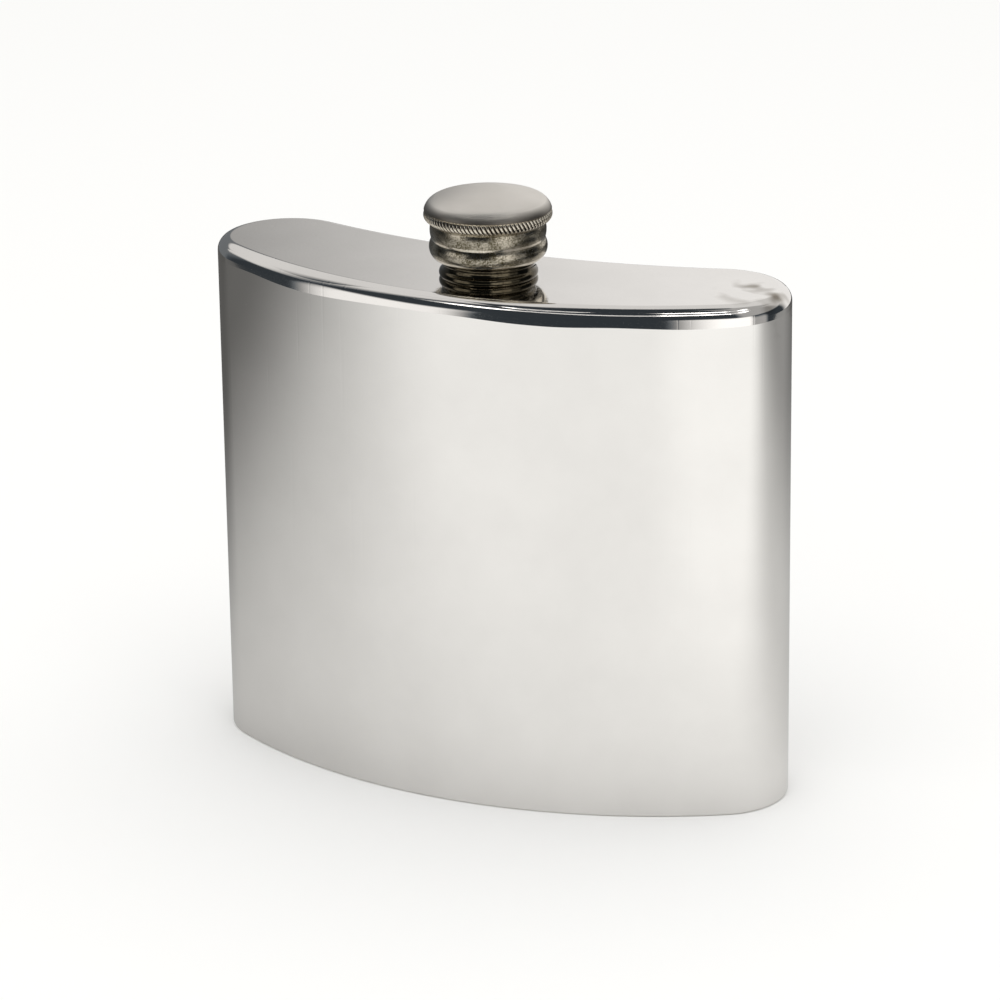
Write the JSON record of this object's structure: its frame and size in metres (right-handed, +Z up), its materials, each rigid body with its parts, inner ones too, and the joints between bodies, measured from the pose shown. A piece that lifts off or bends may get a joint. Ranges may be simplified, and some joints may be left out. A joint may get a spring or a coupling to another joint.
{
  "type": "hip flask",
  "caption": "Curved pocket hip flask in polished pewter, with a flat base and top plate and a short metal neck closed by a domed, rope-edged screw cap.",
  "frame": {"origin": "on the base plane, in the middle of the body's width and of its depth at that place", "axes": "+Z up through the neck, the convex front faces -Y, the concave back faces +Y, +X to the right seen from the front"},
  "size_m": [0.098, 0.0332, 0.0981],
  "materials": {
    "pewter": "polished",
    "solder": "satin",
    "plated_brass": "polished",
    "cap_dome": "polished",
    "tin_facing": "satin",
    "cork": "matte"
  },
  "bodies": {
    "flask": {"body_wall": "pewter", "side_seam_solder": "solder", "base_plate": "pewter", "base_joint_solder": "solder", "top_plate": "pewter", "top_joint_solder": "solder", "neck": "plated_brass", "neck_solder": "solder"},
    "liner": {"wad_facing": "tin_facing", "cork_wad": "cork"},
    "cap": {"cap_shell": "plated_brass", "cap_top": "cap_dome", "cap_solder": "solder"}
  },
  "joints": [
    {"name": "cap_rise", "type": "slide", "parent": "flask", "child": "liner", "axis": [0, 0, 1], "range_m": [0, 0.0075]},
    {"name": "cap_turn", "type": "hinge", "parent": "liner", "child": "cap", "pos_m": [0.0019, 0, 0.0892], "axis": [0, 0, 1], "range_deg": [0, 1080]}
  ],
  "couplings": [
    {"joint": "cap_rise", "follows": "cap_turn", "m_per_rad": 0.00039789}
  ]
}
